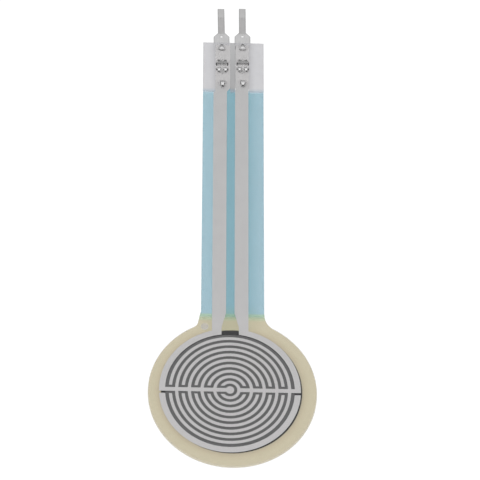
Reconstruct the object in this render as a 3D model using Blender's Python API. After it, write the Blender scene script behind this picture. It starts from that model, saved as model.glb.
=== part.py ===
"""Round force sensing resistor with a straight tail and two crimped solder tabs.

The origin is the centre of the round head, on the underside of the back film.
The tail runs along +Y and the printed side faces +Z. All lengths are in metres.
"""

import math

import bmesh
import bpy
from mathutils import Matrix, Vector

# Films
HEAD_RADIUS = 0.00915
TAIL_WIDTH = 0.0070
TAIL_REACH = 0.04644
ELECTRODE_FILM_THICKNESS = 0.000125
BACK_FILM_THICKNESS = 0.000125
RIGHT_NECK_RADIUS = 0.0020
LEFT_NECK_RADIUS = 0.0008
LEFT_FLARE_LENGTH = 0.00153
LEFT_FLARE_ANGLE = math.radians(11.3)

# Spacer adhesive between the films, with a small void beside the left lead
SPACER_THICKNESS = 0.00015
RIM_WIDTH = 0.00215
NECK_LENGTH = 0.00073
VOID_RADIUS = 0.00032
VOID_FROM_LEAD = 0.00079
VOID_FROM_BORDER = 0.00022

# Where the print sits on the cut film, and its layers
PRINT_X = -0.000265
PRINT_Y = 0.000284
SILVER_THICKNESS = 0.000012
CARBON_THICKNESS = 0.000015
CARBON_OVERLAP = 0.00066
CARBON_X = 0.000125
CARBON_Y = -0.000165

# Finger pattern, measured from the centre of the print
DOT_RADIUS = 0.00046
FINGER_COUNT = 9
FIRST_FINGER_RADIUS = 0.000972
FINGER_WIDTH = 0.000345
BAR_WIDTH = 0.00047
FINGER_END_GAP = 0.000285
BORDER_OVERLAP = 0.00068
BORDER_WIDTH = 0.00066
BORDER_SPACE = 0.00039
BORDER_GAP = 0.00027

# Leads and pads, measured from the middle line of the print
LEAD_OUTER_X = 0.0020
LEAD_INNER_X = 0.00047
LEAD_ROOT_INNER_X = 0.00095
LEAD_ROOT_LENGTH = 0.00022
LEAD_TAPER_LENGTH = 0.0018
PAD_STEP_LENGTH = 0.0005
PAD_END_MARGIN = 0.00025
LEFT_PAD_INNER_X = 0.00009
LEFT_PAD_OUTER_X = 0.00178
RIGHT_PAD_INNER_X = 0.00056
RIGHT_PAD_OUTER_X = 0.00204

# Blue coat over the leads
COAT_THICKNESS = 0.00003
COAT_OVERLAP = 0.0006
COAT_STANDOFF = 0.00037
COAT_TAB_LENGTH = 0.0003
COAT_EDGE_MARGIN = 0.00003

# Contacts, measured from the middle of the crown of tines
SHEET_THICKNESS = 0.00025
CONTACT_PITCH = 0.00237
CONTACT_MIDDLE_X = -0.00011
LEFT_CONTACT_LEAN = math.radians(1.2)
RIGHT_CONTACT_LEAN = math.radians(0.4)
RIGHT_CONTACT_OUT = 0.00008
CROWN_SETBACK = 0.00336
PLATE_WIDTH = 0.00183
PLATE_BACK_REACH = 0.00293
PLATE_CORNER_RADIUS = 0.0002
SHOULDER_STANDOFF = 0.00094
SHOULDER_LENGTH = 0.00055
SHOULDER_RADIUS = 0.00005
TAB_WIDTH = 0.00078
TAB_LENGTH = 0.00347
TAB_CORNER_RADIUS = 0.00005
GAUGE_HOLE_RADIUS = 0.00017
GAUGE_HOLE_ADVANCE = 0.00008
GROOVE_WIDTH = 0.00024
GROOVE_DEPTH = 0.00006
GROOVE_LENGTH = 0.0024
GROOVE_SETBACK = 0.0002

# Piercing tines of a contact
TINE_THICKNESS = 0.00024
BEND_INNER_RADIUS = 0.00003
CURL_INNER_RADIUS = 0.00003
TINE_LIFT = 0.00002
TIP_SLOPE = math.radians(50)
TINE_TIP_WIDTH = 0.00012
TINE_TIP_THICKNESS = 0.00007
TINE_ROOT_OVERLAP = 0.00001
TINE_ROOT_LENGTH = 0.0001
END_TINE_WIDTH = 0.00064
END_TINE_RUN = 0.00024
END_TINE_SLOPE = math.radians(4)
UPPER_TINE_OFFSET = 0.00232
LOWER_TINE_OFFSET = 0.00208
END_WINDOW_LENGTH = 0.00075
END_WINDOW_TIP_WIDTH = 0.0003
CROWN_TINE_WIDTH = 0.00046
UPPER_CROWN_RUN = 0.0002
LOWER_CROWN_RUN = 0.00006
CROWN_TINE_SLOPE = math.radians(10)
CROWN_TINE_OFFSET = 0.0002
CROWN_TINE_SPACING = 0.00067
CROWN_TIP_SPLAY = 0.00006

# Clearances
LAMINATE_GAP = 0.000002
PRINT_CLEARANCE = 0.00002
SLOT_CLEARANCE = 0.00003
SLOT_ROOT_CLEARANCE = 0.000015
SLOT_TEAR = 0.00013
WINDOW_CLEARANCE = 0.00003
CUT_MARGIN = 0.001

# Facets, and how much larger an outline is drawn while a curve fills it
HEAD_SEGMENTS = 96
FACET_LENGTH = 0.00044
FEWEST_SEGMENTS = 24
FILLET_SEGMENTS = 8
CORNER_SEGMENTS = 3
BEND_SEGMENTS = 4
DRAW_SCALE = 1000.0
WELD_DISTANCE = 1e-7
FLAT_ANGLE = math.radians(0.05)
SMOOTH_ANGLE = math.radians(30)

# Heights of the layers, from the underside of the back film up
FILM_BOTTOM = BACK_FILM_THICKNESS + SPACER_THICKNESS
FILM_TOP = FILM_BOTTOM + ELECTRODE_FILM_THICKNESS
PRINT_TOP = FILM_BOTTOM - LAMINATE_GAP
SILVER_BOTTOM = PRINT_TOP - SILVER_THICKNESS
COAT_BOTTOM = PRINT_TOP - COAT_THICKNESS
CARBON_BOTTOM = BACK_FILM_THICKNESS + LAMINATE_GAP
CARBON_TOP = CARBON_BOTTOM + CARBON_THICKNESS
PLATE_TOP = SILVER_BOTTOM - LAMINATE_GAP
PLATE_BOTTOM = PLATE_TOP - SHEET_THICKNESS

# Sizes and places that follow from the sizes above
OPENING_RADIUS = HEAD_RADIUS - RIM_WIDTH
NECK_REACH = HEAD_RADIUS + NECK_LENGTH
CARBON_RADIUS = OPENING_RADIUS + CARBON_OVERLAP
BORDER_OUTER_RADIUS = OPENING_RADIUS + BORDER_OVERLAP
BORDER_INNER_RADIUS = BORDER_OUTER_RADIUS - BORDER_WIDTH
LAST_FINGER_RADIUS = BORDER_INNER_RADIUS - BORDER_SPACE - FINGER_WIDTH / 2
FINGER_PITCH = (LAST_FINGER_RADIUS - FIRST_FINGER_RADIUS) / (FINGER_COUNT - 1)
LEAD_TAPER_START = BORDER_OUTER_RADIUS + LEAD_ROOT_LENGTH
VOID_Y = BORDER_OUTER_RADIUS + VOID_FROM_BORDER
CROWN_Y = TAIL_REACH - CROWN_SETBACK
COAT_START = NECK_REACH - COAT_OVERLAP
COAT_END = CROWN_Y - PLATE_BACK_REACH - COAT_STANDOFF
SHOULDER_START = CROWN_SETBACK + SHOULDER_STANDOFF
SHOULDER_END = SHOULDER_START + SHOULDER_LENGTH
BEND_RADIUS = BEND_INNER_RADIUS + TINE_THICKNESS / 2
CURL_RADIUS = CURL_INNER_RADIUS + TINE_THICKNESS / 2
WINDOW_EDGE = TINE_THICKNESS / 2 + BEND_RADIUS - TINE_ROOT_OVERLAP

# Linear colour, roughness and metallic value of each finish
FINISHES = {
    "clear_polyester": ((0.60, 0.61, 0.63), 0.25, 0.0),
    "printed_silver": ((0.50, 0.49, 0.49), 0.45, 0.6),
    "blue_coat": ((0.33, 0.50, 0.58), 0.45, 0.0),
    "cream_adhesive": ((0.58, 0.52, 0.38), 0.60, 0.0),
    "carbon_ink": ((0.055, 0.054, 0.055), 0.70, 0.0),
    "tinned_brass": ((0.56, 0.56, 0.56), 0.30, 1.0),
}


def clear_scene():
    """Removes whatever the opening scene holds."""
    for item in list(bpy.data.objects):
        bpy.data.objects.remove(item, do_unlink=True)


def new_collection(name, hidden):
    """A collection for the parts, or a hidden one for the cutters."""
    collection = bpy.data.collections.new(name)
    collection.hide_render = hidden
    bpy.context.scene.collection.children.link(collection)
    return collection


def new_material(finish, name):
    """The material of one sub-part."""
    colour, roughness, metallic = FINISHES[finish]
    material = bpy.data.materials.new(name + "_" + finish)
    material.use_nodes = True
    shader = material.node_tree.nodes["Principled BSDF"]
    shader.inputs["Base Color"].default_value = (*colour, 1.0)
    shader.inputs["Roughness"].default_value = roughness
    shader.inputs["Metallic"].default_value = metallic
    material.diffuse_color = (*colour, 1.0)
    return material


def arc(centre, radius, start, end, segments=None):
    """Points along an arc, ends included, with facets of about the same length."""
    if segments is None:
        full_circle = max(FEWEST_SEGMENTS, 2 * math.pi * radius / FACET_LENGTH)
        segments = max(1, round(full_circle * abs(end - start) / (2 * math.pi)))
    angles = [start + (end - start) * step / segments for step in range(segments + 1)]
    return [(centre[0] + radius * math.cos(a), centre[1] + radius * math.sin(a)) for a in angles]


def mirrored(points):
    """The same points on the other side of the Y axis, in the opposite order."""
    return [(-x, y) for x, y in reversed(points)]


def rounded(corners, radii):
    """A closed outline with an arc of its own radius at each corner."""
    outline = []
    for index, corner in enumerate(corners):
        here = Vector(corner)
        back = (Vector(corners[index - 1]) - here).normalized()
        ahead = (Vector(corners[(index + 1) % len(corners)]) - here).normalized()
        half_angle = back.angle(ahead) / 2
        centre = here + (back + ahead).normalized() * radii[index] / math.sin(half_angle)
        first = here + back * radii[index] / math.tan(half_angle) - centre
        last = here + ahead * radii[index] / math.tan(half_angle) - centre
        start = math.atan2(first.y, first.x)
        outline += arc(centre, radii[index], start, start - first.angle_signed(last), CORNER_SEGMENTS)
    return outline


def mesh_from(shape, name):
    """Turns a finished bmesh into a mesh."""
    bmesh.ops.recalc_face_normals(shape, faces=shape.faces)
    mesh = bpy.data.meshes.new(name)
    shape.to_mesh(mesh)
    shape.free()
    return mesh


def sheet_mesh(name, outline, low, high):
    """A flat outline filled and thickened between two heights.

    A filled curve merges points that lie closer than 0.03 mm, and these prints are
    fine, so the outline is drawn larger and the mesh is brought back to size. The
    triangles of each flat side are then dissolved into one face.
    """
    curve = bpy.data.curves.new(name, "CURVE")
    curve.dimensions = "2D"
    curve.fill_mode = "BOTH"
    curve.extrude = (high - low) / 2 * DRAW_SCALE
    spline = curve.splines.new("POLY")
    spline.points.add(len(outline) - 1)
    for point, (x, y) in zip(spline.points, outline):
        point.co = (x * DRAW_SCALE, y * DRAW_SCALE, 0, 1)
    spline.use_cyclic_u = True
    drawing = bpy.data.objects.new(name + "_drawing", curve)
    drawing.scale = (1 / DRAW_SCALE, 1 / DRAW_SCALE, 1 / DRAW_SCALE)
    drawing.location.z = (low + high) / 2
    bpy.context.scene.collection.objects.link(drawing)
    graph = bpy.context.evaluated_depsgraph_get()
    filled = bpy.data.meshes.new_from_object(drawing.evaluated_get(graph))
    shape = bmesh.new()
    shape.from_mesh(filled)
    bmesh.ops.transform(shape, matrix=drawing.matrix_world, verts=shape.verts)
    bmesh.ops.remove_doubles(shape, verts=shape.verts, dist=WELD_DISTANCE)
    bmesh.ops.dissolve_limit(shape, angle_limit=FLAT_ANGLE, verts=shape.verts, edges=shape.edges)
    bpy.data.meshes.remove(filled)
    bpy.data.objects.remove(drawing, do_unlink=True)
    bpy.data.curves.remove(curve)
    return mesh_from(shape, name)


def add_box(shape, x_range, y_range, z_range):
    """Adds a box between two corners."""
    ranges = (x_range, y_range, z_range)
    size = [high - low for low, high in ranges]
    middle = [(low + high) / 2 for low, high in ranges]
    matrix = Matrix.LocRotScale(middle, None, size)
    bmesh.ops.create_cube(shape, size=1.0, matrix=matrix)


def box_mesh(name, x_range, y_range, z_range):
    """A box between two corners, as a mesh."""
    shape = bmesh.new()
    add_box(shape, x_range, y_range, z_range)
    return mesh_from(shape, name)


def round_mesh(name, centre, radius, low, high):
    """A round plate, or a round cutter, between two heights."""
    shape = bmesh.new()
    bmesh.ops.create_cone(
        shape,
        cap_ends=True,
        segments=max(FEWEST_SEGMENTS, round(2 * math.pi * radius / FACET_LENGTH)),
        radius1=radius,
        radius2=radius,
        depth=high - low,
        matrix=Matrix.Translation((centre[0], centre[1], (low + high) / 2)),
    )
    return mesh_from(shape, name)


def place_part(name, mesh, finish, location=(0, 0, 0), turn=0.0):
    """Puts a sub-part in the part's collection, with its own material."""
    item = bpy.data.objects.new(name, mesh)
    item.location = location
    item.rotation_euler.z = turn
    mesh.materials.append(new_material(finish, name))
    mesh.shade_smooth()
    mesh.set_sharp_from_angle(angle=SMOOTH_ANGLE)
    parts.objects.link(item)
    return item


def place_cutter(mesh, location=(0, 0, 0), turn=0.0):
    """Puts a cutter, or a shape that is joined on, in the hidden collection."""
    item = bpy.data.objects.new(mesh.name, mesh)
    item.location = location
    item.rotation_euler.z = turn
    item.hide_render = True
    item.display_type = "WIRE"
    cutters.objects.link(item)
    return item


def combine(item, operation, others, solver="EXACT"):
    """Cuts or joins a mesh with others through Boolean modifiers."""
    for other in others:
        modifier = item.modifiers.new(other.name, "BOOLEAN")
        modifier.operation = operation
        modifier.solver = solver
        modifier.object = other


def finished_mesh(item, name):
    """The mesh of an object with its modifiers applied; the object goes."""
    graph = bpy.context.evaluated_depsgraph_get()
    mesh = bpy.data.meshes.new_from_object(item.evaluated_get(graph))
    mesh.name = name
    bpy.data.objects.remove(item, do_unlink=True)
    return mesh


def neck_side(inset, radius, flare_length, flare_angle):
    """One side of the neck on +X, from the tail down to the head.

    The tail's edge leans out by the flare angle over the flare length. A fillet then
    runs tangent to it and to the round head. Also gives the head's angle at its end.
    """
    along = Vector((math.sin(flare_angle), -math.cos(flare_angle)))
    outward = Vector((math.cos(flare_angle), math.sin(flare_angle)))
    centre_x = TAIL_WIDTH / 2 + flare_length * along.x + radius * outward.x
    centre = Vector((centre_x, math.sqrt((HEAD_RADIUS + radius) ** 2 - centre_x**2)))
    start = centre - outward * (radius + inset) - along * flare_length
    points = [tuple(start)] if flare_length else []
    head_angle = math.atan2(centre.y, centre.x)
    points += arc(centre, radius + inset, math.pi + flare_angle, math.pi + head_angle, FILLET_SEGMENTS)
    return points, head_angle


def film_outline(inset=0.0):
    """The outline of the round head with its tail, clockwise from the tail's right corner."""
    right, right_angle = neck_side(inset, RIGHT_NECK_RADIUS, 0.0, 0.0)
    left, left_angle = neck_side(inset, LEFT_NECK_RADIUS, LEFT_FLARE_LENGTH, LEFT_FLARE_ANGLE)
    head = arc((0, 0), HEAD_RADIUS - inset, right_angle, -math.pi - left_angle, HEAD_SEGMENTS)
    corner = (TAIL_WIDTH / 2 - inset, TAIL_REACH)
    return [corner] + right + head[1:-1] + mirrored(left) + mirrored([corner])


def lead_edges(side, grow=0.0):
    """The outer and inner edge of a lead and its pad, drawn on +X of the print."""
    if side < 0:
        pad_inner, pad_outer = LEFT_PAD_INNER_X, LEFT_PAD_OUTER_X
    else:
        pad_inner, pad_outer = RIGHT_PAD_INNER_X, RIGHT_PAD_OUTER_X
    pad_start = COAT_END - PRINT_Y - COAT_TAB_LENGTH / 2
    pad_full = pad_start + PAD_STEP_LENGTH
    pad_end = TAIL_REACH - PRINT_Y - PAD_END_MARGIN + grow
    outer = [
        (LEAD_OUTER_X + grow, pad_start),
        (pad_outer + grow, pad_full),
        (pad_outer + grow, pad_end),
    ]
    inner = [
        (pad_inner - grow, pad_end),
        (pad_inner - grow, pad_full),
        (LEAD_INNER_X - grow, pad_start),
        (LEAD_INNER_X - grow, LEAD_TAPER_START + LEAD_TAPER_LENGTH),
        (LEAD_ROOT_INNER_X - grow, LEAD_TAPER_START),
    ]
    return outer, inner


def finger_path(fingers, dot_radius):
    """The upper edge of a bar with its fingers, from the border in to the centre line."""
    half_bar = BAR_WIDTH / 2
    end_height = half_bar + FINGER_END_GAP
    path = []
    for finger in fingers:
        radius = FIRST_FINGER_RADIUS + (finger - 1) * FINGER_PITCH
        outer = radius + FINGER_WIDTH / 2
        inner = radius - FINGER_WIDTH / 2
        closes_bar = finger == fingers[-1] and not dot_radius
        inner_end = 0.0 if closes_bar else math.asin(half_bar / inner)
        path += arc((0, 0), outer, math.asin(half_bar / outer), math.pi - math.asin(end_height / outer))
        path += arc((0, 0), inner, math.pi - math.asin(end_height / inner), inner_end)
    if dot_radius:
        path += arc((0, 0), dot_radius, math.asin(half_bar / dot_radius), math.pi)
    return path


def electrode_outline(side, fingers, dot_radius=0.0):
    """One electrode walked round its edge: fingers, border arc, lead and pad."""
    half_bar = BAR_WIDTH / 2
    upper = finger_path(fingers, dot_radius)
    lower = [(x, -y) for x, y in reversed(upper[:-1])]
    lead_outer, lead_inner = lead_edges(side)
    border_outer = arc(
        (0, 0),
        BORDER_OUTER_RADIUS,
        -math.asin(half_bar / BORDER_OUTER_RADIUS),
        math.acos(LEAD_OUTER_X / BORDER_OUTER_RADIUS),
    )
    border_inner = arc(
        (0, 0),
        BORDER_INNER_RADIUS,
        math.acos(LEAD_ROOT_INNER_X / BORDER_INNER_RADIUS),
        math.asin(half_bar / BORDER_INNER_RADIUS),
    )
    outline = upper + lower + border_outer + lead_outer + lead_inner + border_inner
    return mirrored(outline) if side < 0 else outline


def border_arc_outline():
    """The lower half of the border ring, cut square a gap below the bars."""
    height = BAR_WIDTH / 2 + BORDER_GAP
    outer = math.asin(height / BORDER_OUTER_RADIUS)
    inner = math.asin(height / BORDER_INNER_RADIUS)
    edge = arc((0, 0), BORDER_OUTER_RADIUS, -outer, outer - math.pi)
    return edge + arc((0, 0), BORDER_INNER_RADIUS, inner - math.pi, -inner)


def make_prints(slots):
    """The two electrodes and the loose border arc, on the underside of the electrode film.

    A bar's edge has many points in one line, and the exact solver drops the flat
    triangles between them, so the slots in the pads are cut with the manifold solver.
    """
    odd = list(range(FINGER_COUNT, 0, -2))
    even = list(range(FINGER_COUNT - 1, 0, -2))
    outlines = {
        "right_electrode": electrode_outline(1, odd),
        "left_electrode": electrode_outline(-1, even, DOT_RADIUS),
        "border_arc": border_arc_outline(),
    }
    for name, outline in outlines.items():
        mesh = sheet_mesh(name, outline, SILVER_BOTTOM, PRINT_TOP)
        item = place_part(name, mesh, "printed_silver", (PRINT_X, PRINT_Y, 0))
        if name != "border_arc":
            combine(item, "DIFFERENCE", slots, "MANIFOLD")


def lead_seats():
    """Cutters that make room for the leads in the coat and in the adhesive."""
    root_y = BORDER_INNER_RADIUS - BORDER_WIDTH
    seats = []
    for side, name in ((-1, "left_lead_seat"), (1, "right_lead_seat")):
        outer, inner = lead_edges(side, PRINT_CLEARANCE)
        outline = [(outer[0][0], root_y)] + outer + inner + [(inner[-1][0], root_y)]
        if side < 0:
            outline = mirrored(outline)
        mesh = sheet_mesh(name, outline, SILVER_BOTTOM - LAMINATE_GAP, FILM_TOP)
        seats.append(place_cutter(mesh, (PRINT_X, PRINT_Y, 0)))
    return seats


def tail_box(name, start, end, low, high, half_width=HEAD_RADIUS + CUT_MARGIN):
    """A cutter across the tail between two distances from the head's centre."""
    return place_cutter(box_mesh(name, (-half_width, half_width), (start, end), (low, high)))


def make_films(slots):
    """The long electrode film, and the back film, which ends at the neck."""
    outline = film_outline()
    mesh = sheet_mesh("electrode_film", outline, FILM_BOTTOM, FILM_TOP)
    film = place_part("electrode_film", mesh, "clear_polyester")
    combine(film, "DIFFERENCE", slots)
    mesh = sheet_mesh("back_film", outline, 0, BACK_FILM_THICKNESS)
    back = place_part("back_film", mesh, "clear_polyester")
    beyond = TAIL_REACH + CUT_MARGIN
    cut = tail_box("neck_cut", NECK_REACH, beyond, -CUT_MARGIN, FILM_TOP + CUT_MARGIN)
    combine(back, "DIFFERENCE", [cut])
    return cut


def make_carbon():
    """The resistive print on the back film."""
    centre = (PRINT_X + CARBON_X, PRINT_Y + CARBON_Y)
    mesh = round_mesh("resistive_disc", centre, CARBON_RADIUS, CARBON_BOTTOM, CARBON_TOP)
    place_part("resistive_disc", mesh, "carbon_ink")
    seat_radius = CARBON_RADIUS + PRINT_CLEARANCE
    seat_top = CARBON_TOP + LAMINATE_GAP
    return place_cutter(round_mesh("carbon_seat", centre, seat_radius, 0, seat_top))


def make_spacer(neck_cut, carbon_seat, seats):
    """The adhesive ring with its neck, stepped to take every print that it covers."""
    mesh = sheet_mesh("spacer_adhesive", film_outline(), CARBON_BOTTOM, PRINT_TOP)
    spacer = place_part("spacer_adhesive", mesh, "cream_adhesive")
    middle = (PRINT_X, PRINT_Y)
    opening = round_mesh("spacer_opening", middle, OPENING_RADIUS, 0, FILM_TOP)
    seat_radius = BORDER_OUTER_RADIUS + PRINT_CLEARANCE
    border_seat = round_mesh(
        "border_seat", middle, seat_radius, SILVER_BOTTOM - LAMINATE_GAP, FILM_TOP
    )
    void_centre = (PRINT_X - LEAD_OUTER_X - VOID_FROM_LEAD, PRINT_Y + VOID_Y)
    void = round_mesh("spacer_void", void_centre, VOID_RADIUS, 0, FILM_TOP)
    coat_seat = tail_box(
        "coat_seat",
        COAT_START - LAMINATE_GAP,
        NECK_REACH + CUT_MARGIN,
        COAT_BOTTOM - LAMINATE_GAP,
        FILM_TOP,
    )
    round_cuts = [place_cutter(cut) for cut in (opening, border_seat, void)]
    combine(spacer, "DIFFERENCE", [neck_cut, carbon_seat, coat_seat] + round_cuts + seats)


def make_coat(seats):
    """The blue coat over the leads, a little longer in the strip between them."""
    outline = film_outline(COAT_EDGE_MARGIN)
    mesh = sheet_mesh("tail_coat", outline, COAT_BOTTOM, PRINT_TOP)
    coat = place_part("tail_coat", mesh, "blue_coat")
    low = COAT_BOTTOM - CUT_MARGIN
    high = PRINT_TOP + CUT_MARGIN
    below = tail_box("coat_start_cut", -HEAD_RADIUS - CUT_MARGIN, COAT_START, low, high)
    tab_end = COAT_END + COAT_TAB_LENGTH
    above = tail_box("coat_end_cut", tab_end, TAIL_REACH + CUT_MARGIN, low, high)
    beside = bmesh.new()
    reach = HEAD_RADIUS + CUT_MARGIN
    left_edge = PRINT_X - LEAD_INNER_X - PRINT_CLEARANCE
    right_edge = PRINT_X + LEAD_INNER_X + PRINT_CLEARANCE
    add_box(beside, (-reach, left_edge), (COAT_END, tab_end + CUT_MARGIN), (low, high))
    add_box(beside, (right_edge, reach), (COAT_END, tab_end + CUT_MARGIN), (low, high))
    shoulders = place_cutter(mesh_from(beside, "coat_shoulder_cut"))
    combine(coat, "DIFFERENCE", [below, above, shoulders] + seats)


def tine_places():
    """Root X, root Y, fold direction, width, run, slope and tip X of each tine."""
    places = []
    rows = ((1, UPPER_TINE_OFFSET, UPPER_CROWN_RUN), (-1, LOWER_TINE_OFFSET, LOWER_CROWN_RUN))
    for fold, end_offset, crown_run in rows:
        end_root = (0.0, fold * end_offset)
        places.append((*end_root, fold, END_TINE_WIDTH, END_TINE_RUN, END_TINE_SLOPE, 0.0))
        for side in (-1, 1):
            root = (side * CROWN_TINE_SPACING / 2, fold * CROWN_TINE_OFFSET)
            tip_x = root[0] + side * CROWN_TIP_SPLAY
            places.append((*root, fold, CROWN_TINE_WIDTH, crown_run, CROWN_TINE_SLOPE, tip_x))
    return places


def bend(centre, radius, start, sweep):
    """Steps round a bend of a tine: distance, height and the direction it runs in."""
    steps = []
    for step in range(BEND_SEGMENTS + 1):
        angle = start - sweep * step / BEND_SEGMENTS
        across = centre[0] + radius * math.cos(angle)
        up = centre[1] + radius * math.sin(angle)
        steps.append((across, up, angle - math.pi / 2))
    return steps


def tine_path(run, slope):
    """Middle line of a tine: out of the plate, up through the film, over and down.

    Each step gives the distance from the tine's outer face, the height and the
    direction it runs in. After the curl the tine runs on at its slope, and then its
    tip bends down just far enough to rest on the film.
    """
    half = TINE_THICKNESS / 2
    plate_middle = (PLATE_TOP + PLATE_BOTTOM) / 2
    bend_x = half + BEND_RADIUS
    steps = [(bend_x + TINE_ROOT_LENGTH, plate_middle, math.pi)]
    steps += bend((bend_x, plate_middle + BEND_RADIUS), BEND_RADIUS, -math.pi / 2, math.pi / 2)
    curl_centre = (half + CURL_RADIUS, FILM_TOP + TINE_LIFT)
    steps += bend(curl_centre, CURL_RADIUS, math.pi, math.pi / 2 + slope)
    across = steps[-1][0] + run * math.cos(slope)
    up = steps[-1][1] - run * math.sin(slope)
    tip_height = FILM_TOP + LAMINATE_GAP + TINE_TIP_THICKNESS / 2 * math.cos(TIP_SLOPE)
    radius = (up - tip_height) / (math.cos(slope) - math.cos(TIP_SLOPE))
    centre = (across - radius * math.sin(slope), up - radius * math.cos(slope))
    steps += bend(centre, radius, math.pi / 2 - slope, TIP_SLOPE - slope)
    return steps


def add_tine(shape, root_x, root_y, fold, width, run, slope, tip_x):
    """Lofts one tine: full width up through the film, then tapering to its tip."""
    steps = tine_path(run, slope)
    curl_start = BEND_SEGMENTS + 2
    tip_start = len(steps) - BEND_SEGMENTS - 1
    lengths = [math.dist(a[:2], b[:2]) for a, b in zip(steps[curl_start:], steps[curl_start + 1 :])]
    rings = []
    for index, (across, up, heading) in enumerate(steps):
        taper = sum(lengths[: max(0, index - curl_start)]) / sum(lengths)
        half_width = (width + (TINE_TIP_WIDTH - width) * taper) / 2
        thinning = max(0, index - tip_start) / BEND_SEGMENTS
        half_thick = (TINE_THICKNESS + (TINE_TIP_THICKNESS - TINE_THICKNESS) * thinning) / 2
        middle_x = root_x + (tip_x - root_x) * taper
        side_y = -math.sin(heading) * half_thick
        side_z = math.cos(heading) * half_thick
        ring = []
        for x_sign, face in ((-1, -1), (1, -1), (1, 1), (-1, 1)):
            y = root_y + fold * (across + face * side_y)
            ring.append(shape.verts.new((middle_x + x_sign * half_width, y, up + face * side_z)))
        rings.append(ring)
    for near, far in zip(rings, rings[1:]):
        for corner in range(4):
            beside = (corner + 1) % 4
            shape.faces.new((near[corner], near[beside], far[beside], far[corner]))
    shape.faces.new(rings[0])
    shape.faces.new(rings[-1])


def end_window_outline(fold, offset):
    """The opening that an end tine leaves in the plate, narrower where its tip was cut."""
    half_width = END_TINE_WIDTH / 2 + WINDOW_CLEARANCE
    half_tip = END_WINDOW_TIP_WIDTH / 2
    edge = fold * (offset + WINDOW_EDGE)
    root = fold * offset
    far = fold * (offset - END_WINDOW_LENGTH)
    right = [(half_width, edge), (half_width, root), (half_tip, far)]
    return right + mirrored(right)


def contact_blank_outline():
    """The flat outline of a contact: plate, sloping shoulders and solder tab."""
    half_plate = PLATE_WIDTH / 2
    half_tab = TAB_WIDTH / 2
    right = [
        (half_plate, -PLATE_BACK_REACH),
        (half_plate, SHOULDER_START),
        (half_tab, SHOULDER_END),
        (half_tab, SHOULDER_END + TAB_LENGTH),
    ]
    radii = [PLATE_CORNER_RADIUS, SHOULDER_RADIUS, SHOULDER_RADIUS, TAB_CORNER_RADIUS]
    return rounded(right + mirrored(right), radii + radii[::-1])


def contact_mesh():
    """One stamped contact: the blank, its windows, hole and groove, and six curled tines."""
    blank = place_cutter(sheet_mesh("contact", contact_blank_outline(), PLATE_BOTTOM, PLATE_TOP))
    low = PLATE_BOTTOM - CUT_MARGIN
    high = PLATE_TOP + CUT_MARGIN
    crown_half = CROWN_TINE_SPACING / 2 + CROWN_TINE_WIDTH / 2 + WINDOW_CLEARANCE
    crown_edge = CROWN_TINE_OFFSET + WINDOW_EDGE
    crown_window = box_mesh(
        "crown_window", (-crown_half, crown_half), (-crown_edge, crown_edge), (low, high)
    )
    upper_outline = end_window_outline(1, UPPER_TINE_OFFSET)
    upper_window = sheet_mesh("upper_window", upper_outline, low, high)
    lower_outline = end_window_outline(-1, LOWER_TINE_OFFSET)
    lower_window = sheet_mesh("lower_window", lower_outline, low, high)
    hole_centre = (0, SHOULDER_START + GAUGE_HOLE_ADVANCE)
    hole = round_mesh("gauge_hole", hole_centre, GAUGE_HOLE_RADIUS, low, high)
    groove_start = SHOULDER_END - GROOVE_SETBACK + GROOVE_WIDTH / 2
    groove_end = groove_start + GROOVE_LENGTH - GROOVE_WIDTH
    groove_outline = arc((0, groove_end), GROOVE_WIDTH / 2, 0, math.pi, CORNER_SEGMENTS * 2)
    groove_outline += arc(
        (0, groove_start), GROOVE_WIDTH / 2, math.pi, 2 * math.pi, CORNER_SEGMENTS * 2
    )
    groove = sheet_mesh("tab_groove", groove_outline, PLATE_TOP - GROOVE_DEPTH, high)
    cuts = (crown_window, upper_window, lower_window, hole, groove)
    combine(blank, "DIFFERENCE", [place_cutter(cut) for cut in cuts])
    tines = bmesh.new()
    for tine in tine_places():
        add_tine(tines, *tine)
    combine(blank, "UNION", [place_cutter(mesh_from(tines, "tines"))])
    return finished_mesh(blank, "contact")


def slot_mesh(name):
    """Cutters for the slots that the tines pierce through film and pad.

    The film fits closely round a tine, and tears a little at the outer side of each
    tine of the crown.
    """
    shape = bmesh.new()
    z_range = (-CUT_MARGIN, FILM_TOP + CUT_MARGIN)
    for root_x, root_y, fold, width, _, _, _ in tine_places():
        left = SLOT_TEAR if root_x < 0 else SLOT_CLEARANCE
        right = SLOT_TEAR if root_x > 0 else SLOT_CLEARANCE
        near = root_y - fold * SLOT_ROOT_CLEARANCE
        far = root_y + fold * (TINE_THICKNESS + SLOT_CLEARANCE)
        x_range = (root_x - width / 2 - left, root_x + width / 2 + right)
        add_box(shape, x_range, (min(near, far), max(near, far)), z_range)
    return mesh_from(shape, name)


def make_contacts():
    """Both contacts at their places, and the cutters for their slots."""
    slots = []
    contact = contact_mesh()
    seats = {
        "left": (-1, LEFT_CONTACT_LEAN, 0.0),
        "right": (1, RIGHT_CONTACT_LEAN, RIGHT_CONTACT_OUT),
    }
    for name, (side, lean, out) in seats.items():
        place = (CONTACT_MIDDLE_X + side * CONTACT_PITCH / 2, CROWN_Y + out, 0)
        place_part(name + "_contact", contact.copy(), "tinned_brass", place, lean)
        slots.append(place_cutter(slot_mesh(name + "_slots"), place, lean))
    bpy.data.meshes.remove(contact)
    return slots


clear_scene()
parts = new_collection("force_sensing_resistor", hidden=False)
cutters = new_collection("cutters", hidden=True)
slot_cutters = make_contacts()
neck_cutter = make_films(slot_cutters)
make_prints(slot_cutters)
carbon_cutter = make_carbon()
seat_cutters = lead_seats()
make_spacer(neck_cutter, carbon_cutter, seat_cutters)
make_coat(seat_cutters)
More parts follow.
